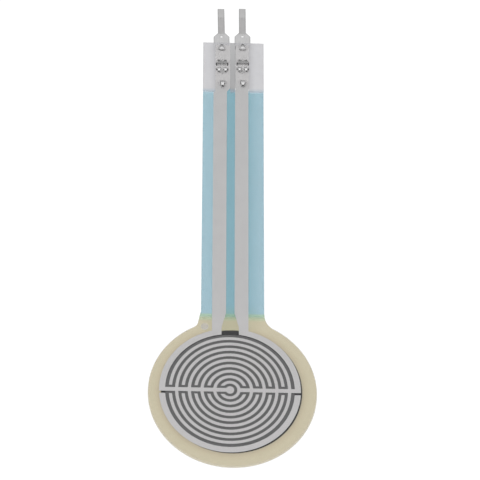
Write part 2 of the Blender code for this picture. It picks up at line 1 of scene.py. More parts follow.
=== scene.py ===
# %% [markdown]
# # Force sensing resistor: the looks
# The part is a stack of thin printed sheets. A clear film carries silver tracks on
# its underside, a ring of cream adhesive holds it a hair above a second film, and
# that one carries a black disc whose resistance falls when a finger presses on the
# head. Two stamped contacts bite through the end of the tail.
# The solids come from the imported model with their real sizes, so this script gives
# them finishes, adds the small traces of making that solids leave out, paints some light
# and shade into the finishes, and sets up the floor, the light and the camera.

# %% Load the imported model
import math

import bmesh
import bpy
from mathutils import Matrix, Vector


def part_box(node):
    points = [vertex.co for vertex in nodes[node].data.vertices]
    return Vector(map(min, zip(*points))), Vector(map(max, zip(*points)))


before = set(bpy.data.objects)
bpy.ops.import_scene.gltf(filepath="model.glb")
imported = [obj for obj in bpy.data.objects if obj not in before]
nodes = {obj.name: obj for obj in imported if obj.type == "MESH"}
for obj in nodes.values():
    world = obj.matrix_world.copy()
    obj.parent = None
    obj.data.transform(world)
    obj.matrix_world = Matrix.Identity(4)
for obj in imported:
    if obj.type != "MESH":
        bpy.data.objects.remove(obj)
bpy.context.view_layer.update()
print("Nodes:", ", ".join(sorted(nodes)))

# %% [markdown]
# ## Where things are
# A finish often changes at a known place, such as where the coat laps over the
# adhesive or where black ink starts to touch the film. Those places are read from the
# boxes of the solids, so a finish stays on its piece when a size changes. A few have
# no box of their own and are written as numbers: the opening and the void in the
# adhesive, and the middle and the lean of each contact's crown of tines. Blender
# works in metres here, so a millimetre has a name of its own.

# %% Read the places that the finishes need
MM = 0.001


def middle_and_radius(node):
    """The middle of a node's box, and half its width."""
    low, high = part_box(node)
    return (low + high) / 2, (high.x - low.x) / 2


HEAD_RADIUS = middle_and_radius("back_film")[1]
NECK_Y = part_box("back_film")[1].y
FILM_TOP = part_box("electrode_film")[1].z
TAIL_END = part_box("electrode_film")[1].y
COAT_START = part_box("tail_coat")[0].y
COAT_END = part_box("tail_coat")[1].y
CARBON_MIDDLE, CARBON_RADIUS = middle_and_radius("resistive_disc")
border_middle, BORDER_RADIUS = middle_and_radius("border_arc")
border_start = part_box("border_arc")[0].y
PRINT_MIDDLE = Vector((border_middle.x, border_start + BORDER_RADIUS, 0))
OPENING_RADIUS = 7.0 * MM
VOID_MIDDLE = Vector((-3.055 * MM, 8.184 * MM, 0))
CROWN_LEFT = Vector((-1.295 * MM, 43.08 * MM, 0))
CROWN_RIGHT = Vector((1.075 * MM, 43.16 * MM, 0))
LEAN_LEFT = math.radians(1.2)
LEAN_RIGHT = math.radians(0.4)
print(f"Head radius {HEAD_RADIUS / MM:.2f} mm, neck ends at {NECK_Y / MM:.2f} mm")
print(f"Print centred on {PRINT_MIDDLE.x / MM:.3f}, {PRINT_MIDDLE.y / MM:.3f} mm")

# %% [markdown]
# ## Small helpers for node trees
# A material is a network of nodes. Wiring it by hand takes three lines for each node,
# so these helpers add a node, set its values and join its inputs in one call. An
# input is either a number or a colour, or the output of another node.


# %% Helpers that add and join nodes
def plug(tree, value, socket):
    """Joins a socket to an output, or gives it a plain value."""
    if isinstance(value, bpy.types.NodeSocket):
        tree.links.new(value, socket)
    else:
        socket.default_value = value


def add_node(tree, kind, inputs=None, **settings):
    """Adds a shader node with its settings and inputs."""
    node = tree.nodes.new("ShaderNode" + kind)
    for name, value in settings.items():
        setattr(node, name, value)
    for key, value in (inputs or {}).items():
        plug(tree, value, node.inputs[key])
    return node


def calculate(tree, operation, first, second=0.0):
    """One sum, product or other step on two values."""
    node = add_node(tree, "Math", {0: first, 1: second}, operation=operation)
    return node.outputs[0]


def blend_colour(tree, mask, low, high):
    """The low colour where the mask is 0, and the high one where it is 1."""
    node = add_node(tree, "Mix", {0: mask, 6: low, 7: high}, data_type="RGBA")
    return node.outputs[2]


def tinted(tree, colour, tone):
    """A colour made lighter or darker by a tone around 1."""
    node = add_node(tree, "VectorMath", {0: colour, "Scale": tone}, operation="SCALE")
    return node.outputs[0]


def object_place(tree):
    """The place on the object itself, in metres, so a finish never slides."""
    return add_node(tree, "TexCoord").outputs["Object"]


def axis_values(tree, place):
    """The X, Y and Z of a place, one by one."""
    return add_node(tree, "SeparateXYZ", {0: place}).outputs


# %% [markdown]
# ## Shared effects as node groups
# Several finishes share an effect: every ink here is screen printed, so each one has
# the fine mesh of the screen and a little grain. Such an effect is a node group, made
# once with named sockets and then used with other values in each material. A group
# puts out only masks, tones and heights. The shader stays in the material.


# %% Helpers that make and use a group
def new_group(name, inputs, outputs):
    """A node group with named sockets: inputs give a kind and a default value."""
    group = bpy.data.node_groups.new(name, "ShaderNodeTree")
    for label, (kind, default) in inputs.items():
        socket = group.interface.new_socket(
            label, in_out="INPUT", socket_type="NodeSocket" + kind
        )
        socket.default_value = default
    for label in outputs:
        group.interface.new_socket(label, in_out="OUTPUT", socket_type="NodeSocketFloat")
    given = group.nodes.new("NodeGroupInput").outputs
    result = group.nodes.new("NodeGroupOutput").inputs
    return group, given, result


def use_group(tree, group, inputs):
    """Places a group in a material and gives its outputs."""
    node = tree.nodes.new("ShaderNodeGroup")
    node.node_tree = group
    for key, value in inputs.items():
        plug(tree, value, node.inputs[key])
    return node.outputs


# %% [markdown]
# ### Grain
# Dried ink, handled film and plated metal are never one flat tone. A noise texture
# gives a tone that wavers around 1, and the same noise is a height for the bump, so
# light and relief agree. A grain of a few hundredths of a millimetre reads as the
# surface itself, and one of about a millimetre as a cloud in it.

# %% Grain group
grain, given, result = new_group(
    "grain",
    {
        "Place": ("Vector", (0, 0, 0)),
        "Grain Size": ("Float", 0.1 * MM),
        "Contrast": ("Float", 0.1),
    },
    ["Tone", "Height"],
)
scale = calculate(grain, "DIVIDE", 1.0, given["Grain Size"])
noise = add_node(
    grain,
    "TexNoise",
    {"Vector": given["Place"], "Scale": scale, "Detail": 3.0, "Roughness": 0.55},
)
swing = calculate(grain, "SUBTRACT", noise.outputs[0], 0.5)
swing = calculate(grain, "MULTIPLY", swing, given["Contrast"])
plug(grain, calculate(grain, "ADD", swing, 1.0), result["Tone"])
plug(grain, noise.outputs[0], result["Height"])
print("Group made:", grain.name)

# %% [markdown]
# ### Screen mesh
# A printing screen is a woven mesh, and the ink that dries keeps a faint image of it:
# rows of low mounds along two directions. Two sine waves multiplied give that image
# at the pitch of the mesh, a little off the square as a stretched screen is.

# %% Screen mesh group
screen_mesh, given, result = new_group(
    "screen_mesh",
    {
        "Place": ("Vector", (0, 0, 0)),
        "Pitch": ("Float", 0.12 * MM),
        "Turn": ("Float", math.radians(22)),
    },
    ["Height"],
)
turned = add_node(
    screen_mesh,
    "VectorRotate",
    {"Vector": given["Place"], "Angle": given["Turn"]},
    rotation_type="Z_AXIS",
)
x, y, _ = axis_values(screen_mesh, turned.outputs[0])
step = calculate(screen_mesh, "DIVIDE", 2 * math.pi, given["Pitch"])
waves = [
    calculate(screen_mesh, "SINE", calculate(screen_mesh, "MULTIPLY", value, step))
    for value in (x, y)
]
product = calculate(screen_mesh, "MULTIPLY", *waves)
half = calculate(screen_mesh, "MULTIPLY", product, 0.5)
plug(screen_mesh, calculate(screen_mesh, "ADD", half, 0.5), result["Height"])
print("Group made:", screen_mesh.name)

# %% [markdown]
# ### Round area
# The head is built from circles, so many changes of finish are circles too: the
# opening in the adhesive, the black disc under it, the rim of the film. The mask is 1
# inside the circle and falls to 0 over a soft edge.

# %% Round area group
round_area, given, result = new_group(
    "round_area",
    {
        "Place": ("Vector", (0, 0, 0)),
        "Middle": ("Vector", (0, 0, 0)),
        "Radius": ("Float", 1 * MM),
        "Soft Edge": ("Float", 0.1 * MM),
    },
    ["Mask"],
)
offset = add_node(
    round_area, "VectorMath", {0: given["Place"], 1: given["Middle"]}, operation="SUBTRACT"
)
flat = add_node(round_area, "VectorMath", {0: offset.outputs[0]}, operation="MULTIPLY")
flat.inputs[1].default_value = (1, 1, 0)
distance = add_node(round_area, "VectorMath", {0: flat.outputs[0]}, operation="LENGTH")
outer = calculate(round_area, "ADD", given["Radius"], given["Soft Edge"])
fade = add_node(
    round_area,
    "MapRange",
    {0: distance.outputs["Value"], 1: given["Radius"], 2: outer, 3: 1.0, 4: 0.0},
    interpolation_type="SMOOTHSTEP",
)
plug(round_area, fade.outputs[0], result["Mask"])
print("Group made:", round_area.name)

# %% [markdown]
# ### Band
# Along the straight tail the changes are bands: the coat laps over the adhesive, and a
# tab is darker over most of its length. The mask is 1 between two values of one
# coordinate, with a soft edge outside each. A band that reaches beyond the part, a
# metre off, has no end on that side.

# %% Band group
band, given, result = new_group(
    "band",
    {
        "Along": ("Float", 0.0),
        "Start": ("Float", 0.0),
        "End": ("Float", 1 * MM),
        "Soft Edge": ("Float", 0.1 * MM),
    },
    ["Mask"],
)
before = calculate(band, "SUBTRACT", given["Start"], given["Soft Edge"])
after = calculate(band, "ADD", given["End"], given["Soft Edge"])
rise = add_node(
    band,
    "MapRange",
    {0: given["Along"], 1: before, 2: given["Start"], 3: 0.0, 4: 1.0},
    interpolation_type="SMOOTHSTEP",
)
fall = add_node(
    band,
    "MapRange",
    {0: given["Along"], 1: given["End"], 2: after, 3: 1.0, 4: 0.0},
    interpolation_type="SMOOTHSTEP",
)
both = calculate(band, "MULTIPLY", rise.outputs[0], fall.outputs[0])
plug(band, both, result["Mask"])
print("Group made:", band.name)

BEYOND = 1.0


def band_mask(tree, along, start, end, soft):
    """The mask of a band along one coordinate."""
    inputs = {"Along": along, "Start": start, "End": end, "Soft Edge": soft}
    return use_group(tree, band, inputs)["Mask"]


# %% [markdown]
# ### Rubbed lines
# Rolled sheet metal and handled film both show fine lines along one direction. Noise
# that is squeezed across the lines and stretched along them looks like that.

# %% Rubbed lines group
rubbed_lines, given, result = new_group(
    "rubbed_lines",
    {
        "Place": ("Vector", (0, 0, 0)),
        "Line Width": ("Float", 0.03 * MM),
        "Line Length": ("Float", 2 * MM),
        "Contrast": ("Float", 0.1),
    },
    ["Tone", "Height"],
)
across = calculate(rubbed_lines, "DIVIDE", 1.0, given["Line Width"])
along = calculate(rubbed_lines, "DIVIDE", 1.0, given["Line Length"])
squeeze = add_node(rubbed_lines, "CombineXYZ", {0: across, 1: along, 2: across})
stretched = add_node(
    rubbed_lines,
    "VectorMath",
    {0: given["Place"], 1: squeeze.outputs[0]},
    operation="MULTIPLY",
)
noise = add_node(
    rubbed_lines,
    "TexNoise",
    {"Vector": stretched.outputs[0], "Scale": 1.0, "Detail": 2.0, "Roughness": 0.6},
)
swing = calculate(rubbed_lines, "SUBTRACT", noise.outputs[0], 0.5)
swing = calculate(rubbed_lines, "MULTIPLY", swing, given["Contrast"])
plug(rubbed_lines, calculate(rubbed_lines, "ADD", swing, 1.0), result["Tone"])
plug(rubbed_lines, noise.outputs[0], result["Height"])
print("Group made:", rubbed_lines.name)

# %% [markdown]
# ### Specks
# Pinholes in ink, bubbles in adhesive and dust on film are all small dots at random
# places. A Voronoi texture gives the distance to the nearest of many random points,
# and the dots are where that distance is short.

# %% Specks group
specks, given, result = new_group(
    "specks",
    {
        "Place": ("Vector", (0, 0, 0)),
        "Spacing": ("Float", 0.5 * MM),
        "Size": ("Float", 0.08),
    },
    ["Mask"],
)
scale = calculate(specks, "DIVIDE", 1.0, given["Spacing"])
cells = add_node(specks, "TexVoronoi", {"Vector": given["Place"], "Scale": scale})
inner = calculate(specks, "MULTIPLY", given["Size"], 0.5)
dots = add_node(
    specks,
    "MapRange",
    {0: cells.outputs["Distance"], 1: inner, 2: given["Size"], 3: 1.0, 4: 0.0},
    interpolation_type="SMOOTHSTEP",
)
plug(specks, dots.outputs[0], result["Mask"])
print("Group made:", specks.name)

# %% [markdown]
# ## Clear film
# Both sheets are clear polyester, an eighth of a millimetre thick. Clear film is easy
# to get wrong: at full transparency the part looks like bare ink lying on a floor. The
# real sheet takes a little light, has a soft haze, fine scuffs, a few specks of dust,
# and a cut edge that catches light. Alpha is used and not glass, because a thin flat
# sheet doesn't bend what is behind it. The alpha only counts for what the camera sees
# directly: to light the sheet is clear, so it throws no shadow on its own underside.
# Some helpers come first. They join masks, tint a colour, for real stains and for painted
# shade and light, and start a material.

# %% Helpers for masks, stains, painted shade and new materials
WHITE = (1.0, 1.0, 1.0, 1.0)


def times(tree, *values):
    """The product of some values, from left to right."""
    product = values[0]
    for value in values[1:]:
        product = calculate(tree, "MULTIPLY", product, value)
    return product


def any_of(tree, *masks):
    """The mask that is 1 where any of some masks is 1."""
    joined = masks[0]
    for mask in masks[1:]:
        joined = calculate(tree, "MAXIMUM", joined, mask)
    return joined


def inverted(tree, mask):
    """The mask that is 1 where another is 0."""
    return calculate(tree, "SUBTRACT", 1.0, mask)


def less(tree, value, taken):
    """A value with another one taken off it, but never under 0."""
    return calculate(tree, "MAXIMUM", calculate(tree, "SUBTRACT", value, taken), 0.0)


def circle_mask(tree, place, middle, radius, soft):
    """The mask of a round area."""
    inputs = {"Place": place, "Middle": middle, "Radius": radius, "Soft Edge": soft}
    return use_group(tree, round_area, inputs)["Mask"]


def stain_and_shade(tree, colour, mask, tint_colour):
    """A colour multiplied by a tint where the mask is 1, for real stains and for painted shade and
    light.
    """
    tint = blend_colour(tree, mask, WHITE, tint_colour)
    node = add_node(tree, "VectorMath", {0: colour, 1: tint}, operation="MULTIPLY")
    return node.outputs[0]


def relief(tree, height, depth):
    """A bump of a known depth."""
    inputs = {"Height": height, "Distance": depth, "Strength": 1.0}
    return add_node(tree, "Bump", inputs).outputs[0]


def seen_only(tree, alpha):
    """An alpha that the camera sees, while all other light passes through."""
    return times(tree, alpha, add_node(tree, "LightPath").outputs["Is Camera Ray"])


def new_material(name):
    """A new material, with its node tree and its shader."""
    material = bpy.data.materials.new(name)
    material.use_nodes = True
    tree = material.node_tree
    return material, tree, tree.nodes["Principled BSDF"]


# %% [markdown]
# ### The milky end of the tail
# Where nothing is bonded under the film, its rough underside scatters light and looks
# milky. Ink and adhesive wet that face and make it clear. So past the coat the tail is
# milky beside the silver pads, and clear over the pads themselves. The strip between the
# pads is painted darker, less so towards the end, and the milk is painted a little darker
# near the pads: painted shade of the contact plates under the film. The clear part starts
# a hair before the right pad, where the plate of its contact shows. The edge of the coat
# bleeds a little colour into the milk. The pads are measured on their solids, because
# their box also holds the leads and the fingers.

# %% Milky end of the tail
MILK_COLOUR = (0.420, 0.418, 0.434)
# Painted shade: the strip between the pads, lighter towards the end of the tail.
SHADED_STRIP_COLOUR = (0.245, 0.245, 0.249, 1.0)
SHADED_STRIP_END_COLOUR = (0.305, 0.305, 0.309, 1.0)
SIDE_BLEED = (0.80, 0.90, 0.96, 1.0)
STRIP_BLEED = (0.89, 1.00, 1.12, 1.0)
MILK_START = COAT_END - 0.30 * MM
MILK_SOFT = 0.45 * MM
BLEED_END = MILK_START - 0.05 * MM
BLEED_SOFT = 0.35 * MM
PLATE_SHOWS = 0.10 * MM
PAD_EDGE_SOFT = 0.03 * MM
PAD_SHADE = 0.14
PAD_SHADE_SOFT = 0.8 * MM


def pad_area(side):
    """Where a silver pad starts and stops across the tail, and where it ends."""
    places = [vertex.co for vertex in nodes[side + "_electrode"].data.vertices]
    pad = [co for co in places if co.y > COAT_END + 1 * MM]
    across = [co.x for co in pad]
    return min(across), max(across), max(co.y for co in pad)


LEFT_START, LEFT_STOP, PAD_END = pad_area("left")
RIGHT_START, RIGHT_STOP, _ = pad_area("right")


def milky_end(tree, x, y, streaks):
    """The mask of the bare film at the end of the tail, and its milky colour with painted shade."""
    strip = band_mask(tree, x, LEFT_STOP, RIGHT_START - PLATE_SHOWS, PAD_EDGE_SOFT)
    end = band_mask(tree, y, MILK_START, BEYOND, MILK_SOFT)
    pads = less(tree, band_mask(tree, x, LEFT_START, RIGHT_STOP, PAD_EDGE_SOFT), strip)
    covered = times(tree, pads, band_mask(tree, y, -BEYOND, PAD_END, PAD_EDGE_SOFT))
    far = band_mask(tree, y, TAIL_END, BEYOND, TAIL_END - COAT_END - 2 * MM)
    strip_shade_colour = blend_colour(tree, far, SHADED_STRIP_COLOUR, SHADED_STRIP_END_COLOUR)
    near_pads = band_mask(
        tree, x, LEFT_START - 0.1 * MM, RIGHT_STOP + 0.05 * MM, PAD_SHADE_SOFT
    )
    tone = calculate(tree, "SUBTRACT", streaks, times(tree, near_pads, PAD_SHADE))
    side_colour = tinted(tree, MILK_COLOUR, tone)
    colour = blend_colour(tree, strip, side_colour, strip_shade_colour)
    bled = band_mask(tree, y, -BEYOND, BLEED_END, BLEED_SOFT)
    bleed = blend_colour(tree, strip, SIDE_BLEED, STRIP_BLEED)
    return less(tree, end, covered), stain_and_shade(tree, colour, bled, bleed)


print(f"Pads {(LEFT_STOP - LEFT_START) / MM:.2f} and {(RIGHT_STOP - RIGHT_START) / MM:.2f} mm wide")

# %% [markdown]
# ### What the tines do to the film
# The tines were driven through the film and closed on it, and tore its upper corners.
# Above and below each crown the film gets a darker haze, which is painted shade of the
# tines, and the torn corners are painted black, which is painted shade in the slots. All
# of these are small round areas, placed from the middle of each crown.

# %% Painted shade round the crowns and in the torn corners
SHADE_ABOVE_CROWN = (0.62 * MM, 0.26 * MM)
SHADE_BELOW_CROWN = (-0.80 * MM, 0.14 * MM)
TORN_X = 0.63 * MM
TORN_Y = 0.44 * MM
TORN_RADIUS = 0.07 * MM
TORN_SOFT = 0.06 * MM


def film_shade_round_crowns(tree, place):
    """The mask of the painted shade of the tines on the film round each crown."""
    crown_shade_spots = [
        circle_mask(tree, place, crown + Vector((0, along, 0)), radius, radius)
        for crown in (CROWN_LEFT, CROWN_RIGHT)
        for along, radius in (SHADE_ABOVE_CROWN, SHADE_BELOW_CROWN)
    ]
    return any_of(tree, *crown_shade_spots)


def torn_film_shade(tree, place):
    """The mask of the film's torn upper corners, painted black as shade in the slots."""
    corners = [
        circle_mask(
            tree, place, crown + Vector((side * TORN_X, TORN_Y, 0)), TORN_RADIUS, TORN_SOFT
        )
        for crown in (CROWN_LEFT, CROWN_RIGHT)
        for side in (-1, 1)
    ]
    return any_of(tree, *corners)


print(f"Torn corners {2 * TORN_X / MM:.2f} mm apart at each crown")

# %% [markdown]
# ### The film's material
# Haze, scuffs, dust and the lighter rim are on both sheets. The printed sheet also has
# the milky end, the painted shade of the tines, and a small void in the adhesive beside
# the left lead, which is milky for the same reason as the end.
# Where a mask raises alpha, the colour has to switch first, or a dark line shows along
# the edge. So the milky mask is steepened before it mixes the colour.

# %% Clear film material
FILM_COLOUR = (0.105, 0.107, 0.110, 1.0)
EDGE_COLOUR = (0.42, 0.42, 0.42, 1.0)
VOID_COLOUR = (0.350, 0.330, 0.287, 1.0)
TORN_SHADE_COLOUR = (0.02, 0.02, 0.02, 1.0)
FILM_ALPHA = 0.10
RIM_ALPHA = 0.10
DUST_ALPHA = 0.25
CROWN_SHADE_ALPHA = 0.20
MILK_ALPHA = 0.72
COLOUR_FIRST = 40.0
STREAK_SHARE = 0.15
RIM_WIDTH = 0.14 * MM
VOID_RADIUS = 0.31 * MM
VOID_SOFT = 0.14 * MM
FILM_ROUGHNESS = 0.32
FILM_IOR = 1.57
SCUFF_DEPTH = 0.0008 * MM


def blend_value(tree, mask, low, high):
    """The low value where the mask is 0, and the high one where it is 1."""
    return add_node(tree, "Mix", {0: mask, 2: low, 3: high}).outputs[0]


def film_rim(tree, place, y):
    """The mask of the head's cut edge, which stops where the neck begins."""
    inside = circle_mask(tree, place, (0, 0, 0), HEAD_RADIUS - RIM_WIDTH, 0.1 * MM)
    tail = band_mask(tree, y, NECK_Y - 1.8 * MM, BEYOND, 0.5 * MM)
    return less(tree, inverted(tree, inside), tail)


def printed_side(tree, place, haze, colour, streaks):
    """What the printed sheet has over plain film: milk, void, and painted shade of the tines."""
    x, y, _ = axis_values(tree, place)
    added_crown_shade = times(tree, film_shade_round_crowns(tree, place), CROWN_SHADE_ALPHA)
    haze = calculate(tree, "ADD", haze, added_crown_shade)
    milky, milk = milky_end(tree, x, y, streaks)
    void = circle_mask(tree, place, VOID_MIDDLE, VOID_RADIUS, VOID_SOFT)
    milk = blend_colour(tree, void, milk, VOID_COLOUR)
    milky = any_of(tree, milky, void)
    haze = blend_value(tree, milky, haze, MILK_ALPHA)
    colour = blend_colour(tree, times(tree, milky, COLOUR_FIRST), colour, milk)
    torn = torn_film_shade(tree, place)
    haze = blend_value(tree, torn, haze, MILK_ALPHA)
    return haze, blend_colour(tree, torn, colour, TORN_SHADE_COLOUR)


def clear_film(name, printed):
    """Clear polyester. The printed sheet is milky where nothing wets its underside."""
    material, tree, shader = new_material(name)
    place = object_place(tree)
    cloud = use_group(tree, grain, {"Place": place, "Grain Size": 0.9 * MM, "Contrast": 0.16})
    scuffs = use_group(
        tree,
        rubbed_lines,
        {"Place": place, "Line Width": 0.05 * MM, "Line Length": 3 * MM, "Contrast": 0.5},
    )
    dust = use_group(tree, specks, {"Place": place, "Spacing": 1.6 * MM, "Size": 0.035})["Mask"]
    rim = film_rim(tree, place, axis_values(tree, place)[1])
    haze = times(tree, cloud["Tone"], FILM_ALPHA)
    haze = calculate(tree, "ADD", haze, times(tree, rim, RIM_ALPHA))
    haze = calculate(tree, "ADD", haze, times(tree, dust, DUST_ALPHA))
    colour = blend_colour(tree, any_of(tree, rim, dust), FILM_COLOUR, EDGE_COLOUR)
    if printed:
        streaks = calculate(tree, "SUBTRACT", scuffs["Tone"], 1.0)
        streaks = calculate(tree, "ADD", times(tree, streaks, STREAK_SHARE), 1.0)
        streaks = times(tree, streaks, cloud["Tone"])
        haze, colour = printed_side(tree, place, haze, colour, streaks)
    plug(tree, seen_only(tree, haze), shader.inputs["Alpha"])
    plug(tree, colour, shader.inputs["Base Color"])
    plug(tree, times(tree, scuffs["Tone"], FILM_ROUGHNESS), shader.inputs["Roughness"])
    plug(tree, relief(tree, scuffs["Height"], SCUFF_DEPTH), shader.inputs["Normal"])
    shader.inputs["IOR"].default_value = FILM_IOR
    return material


printed_film = clear_film("printed_film_finish", printed=True)
plain_film = clear_film("back_film_finish", printed=False)
print("Materials made:", printed_film.name, "and", plain_film.name)

# %% [markdown]
# ## Dressing a node
# A imported solid comes with a plain material in its one slot. This helper swaps it for
# the finished one and prints the node with its finish.


# %% Dress the two films
def dress(node, material):
    """Gives a node its finish."""
    piece = nodes[node]
    piece.data.materials.clear()
    piece.data.materials.append(material)
    print(f"{node}: {material.name}")


dress("electrode_film", printed_film)
dress("back_film", plain_film)

# %% [markdown]
# ## Printed inks
# Silver, carbon, adhesive and coat are all screen printed, so they share one material
# with other values. Each has a fine grain, a slow change of tone, the image of the
# screen and the odd pinhole. The tone itself comes from a function of its own for each
# ink, because that is where they differ.

# %% A screen printed ink
MESH_SHADE = 0.04
PINHOLE_SHADE = 0.12
PINHOLE_SPACING = 0.8 * MM
CLOUD_SIZE = 1.7 * MM
CLOUD_SHARE = 0.6
GRAIN_RELIEF = 0.6
MESH_RELIEF = 0.4
INK_DEPTH = 0.004 * MM


def printed_ink(name, ink_tone, roughness, metallic, specular, grain_size, contrast, pinholes):
    """A screen printed ink, with the mesh of its screen."""
    material, tree, shader = new_material(name)
    place = object_place(tree)
    fine = use_group(
        tree, grain, {"Place": place, "Grain Size": grain_size, "Contrast": contrast}
    )
    cloud = use_group(
        tree,
        grain,
        {"Place": place, "Grain Size": CLOUD_SIZE, "Contrast": contrast * CLOUD_SHARE},
    )
    mesh = use_group(tree, screen_mesh, {"Place": place})
    holes = use_group(
        tree, specks, {"Place": place, "Spacing": PINHOLE_SPACING, "Size": pinholes}
    )
    tone = times(tree, fine["Tone"], cloud["Tone"])
    shade = times(tree, mesh["Height"], MESH_SHADE)
    tone = calculate(tree, "ADD", tone, calculate(tree, "SUBTRACT", shade, MESH_SHADE / 2))
    tone = calculate(tree, "SUBTRACT", tone, times(tree, holes["Mask"], PINHOLE_SHADE))
    plug(tree, tinted(tree, ink_tone(tree, place), tone), shader.inputs["Base Color"])
    plug(tree, times(tree, fine["Tone"], roughness), shader.inputs["Roughness"])
    shader.inputs["Metallic"].default_value = metallic
    shader.inputs["Specular IOR Level"].default_value = specular
    height = times(tree, fine["Height"], GRAIN_RELIEF)
    height = calculate(tree, "ADD", height, times(tree, mesh["Height"], MESH_RELIEF))
    plug(tree, relief(tree, height, INK_DEPTH), shader.inputs["Normal"])
    return material


# %% [markdown]
# ### Silver ink
# The tracks are silver flakes in a binder. Up close the ink is a soft grey. It is only
# partly a metal to the eye: the flakes lie at all angles, so the metallic value stays
# low and the roughness high. It is a touch cooler on the long leads than on the head,
# and lighter on the pads, where no coat covers it.

# %% Silver ink material
HEAD_SILVER = (0.47, 0.462, 0.462, 1.0)
LEAD_SILVER = (0.452, 0.449, 0.451, 1.0)
PAD_SILVER = (0.500, 0.491, 0.492, 1.0)
LEAD_SOFT = 1.0 * MM
PAD_SILVER_START = COAT_END + 1.4 * MM
PAD_SILVER_SOFT = 0.6 * MM


def silver_tone(tree, place):
    """Silver on the head, cooler on the leads and lighter on the pads."""
    y = axis_values(tree, place)[1]
    leads = band_mask(tree, y, NECK_Y, COAT_END, LEAD_SOFT)
    pads = band_mask(tree, y, PAD_SILVER_START, BEYOND, PAD_SILVER_SOFT)
    colour = blend_colour(tree, leads, HEAD_SILVER, LEAD_SILVER)
    return blend_colour(tree, pads, colour, PAD_SILVER)


silver_ink = printed_ink(
    "silver_ink",
    silver_tone,
    roughness=0.5,
    metallic=0.35,
    specular=0.3,
    grain_size=0.07 * MM,
    contrast=0.16,
    pinholes=0.05,
)
for electrode in ("left_electrode", "right_electrode", "border_arc"):
    dress(electrode, silver_ink)

# %% [markdown]
# ### Carbon ink
# The disc is black ink with a rough, matt face. Under the ring of adhesive the film
# touches it and it looks deep black. In the opening there is air above it, so its
# upper face scatters light and reads as dark grey. One circle parts the two.

# %% Carbon ink material
BONDED_BLACK = (0.018, 0.0175, 0.018, 1.0)
OPEN_BLACK = (0.095, 0.094, 0.095, 1.0)
OPENING_SOFT = 0.02 * MM


def carbon_tone(tree, place):
    """Dark grey in the opening, deep black where adhesive covers the ink."""
    opening = circle_mask(tree, place, PRINT_MIDDLE, OPENING_RADIUS, OPENING_SOFT)
    return blend_colour(tree, opening, BONDED_BLACK, OPEN_BLACK)


carbon_ink = printed_ink(
    "carbon_ink",
    carbon_tone,
    roughness=0.75,
    metallic=0.0,
    specular=0.3,
    grain_size=0.05 * MM,
    contrast=0.35,
    pinholes=0.03,
)
dress("resistive_disc", carbon_ink)

# %% [markdown]
# ### Cream adhesive
# The spacer is a printed adhesive: cream, soft and slightly cloudy, with small
# bubbles. It is thin enough that black ink under it shows through, which draws the
# dark bar between the roots of the leads and the thin crescent beside the silver
# border. So inside the circle of the carbon disc its colour turns black, with a soft
# edge. The cream beside it is painted a little darker, first steeply and then over a
# whole millimetre: painted shade, as less light comes through the cream next to the
# black. Two such shades, multiplied, give that slope. Round the neck, near the leads,
# the cream is painted duller, which is painted shade too. A third tint is the faint
# green that the cream takes on under the start of the blue coat, and a fourth is painted
# light on the step that the coat sits in, whose shade would look like a drawn line.

# %% Cream adhesive material
CREAM = (0.522, 0.471, 0.338)
SHADED_NECK_CREAM = (0.430, 0.404, 0.276, 1.0)
NECK_MIDDLE = Vector((PRINT_MIDDLE.x, NECK_Y - 0.9 * MM, 0))
NECK_RADIUS = 0.8 * MM
NECK_SOFT = 3.5 * MM
# Painted shade beside the carbon disc, steep and then wide.
NEAR_SHADE = (0.90, 0.90, 0.92, 1.0)
NEAR_SOFT = 0.5 * MM
WIDE_SHADE = (0.91, 0.89, 0.87, 1.0)
WIDE_SOFT = 1.0 * MM
LAP_STAIN = (0.86, 1.07, 1.03, 1.0)
LAP_SOFT = 0.4 * MM
SEAT_LIGHT = (1.11, 1.08, 1.08, 1.0)
SEAT_BAND = (COAT_START + 0.03 * MM, COAT_START + 0.27 * MM, 0.05 * MM)
BLACK_MIDDLE = CARBON_MIDDLE + Vector((0.045 * MM, 0.02 * MM, 0))
BLACK_RADIUS = CARBON_RADIUS - 0.075 * MM
BLACK_SOFT = 0.14 * MM


def adhesive_tone(tree, place):
    """Cream with painted shade beside the carbon and at the neck, black over the carbon."""
    near = circle_mask(tree, place, CARBON_MIDDLE, CARBON_RADIUS, NEAR_SOFT)
    wide = circle_mask(tree, place, CARBON_MIDDLE, CARBON_RADIUS, WIDE_SOFT)
    cream = stain_and_shade(tree, CREAM, near, NEAR_SHADE)
    cream = stain_and_shade(tree, cream, wide, WIDE_SHADE)
    neck = circle_mask(tree, place, NECK_MIDDLE, NECK_RADIUS, NECK_SOFT)
    cream = blend_colour(tree, neck, cream, SHADED_NECK_CREAM)
    y = axis_values(tree, place)[1]
    cream = stain_and_shade(tree, cream, band_mask(tree, y, COAT_START, BEYOND, LAP_SOFT), LAP_STAIN)
    cream = stain_and_shade(tree, cream, band_mask(tree, y, *SEAT_BAND), SEAT_LIGHT)
    black = circle_mask(tree, place, BLACK_MIDDLE, BLACK_RADIUS, BLACK_SOFT)
    return blend_colour(tree, black, cream, BONDED_BLACK)


cream_adhesive = printed_ink(
    "cream_adhesive",
    adhesive_tone,
    roughness=0.6,
    metallic=0.0,
    specular=0.08,
    grain_size=0.22 * MM,
    contrast=0.07,
    pinholes=0.06,
)
dress("spacer_adhesive", cream_adhesive)

# %% [markdown]
# ### Blue coat
# A translucent blue ink seals the leads along the tail. It is thin, so the pale floor
# shows through, and it looks deeper beside the leads and in the strip between them,
# where less light gets under the tail. Its first half millimetre lies on the cream
# adhesive and so turns green, and the deep strip is still a little teal next to it.
# Like the film it throws no shadow: its own shade on the adhesive would draw stripes.

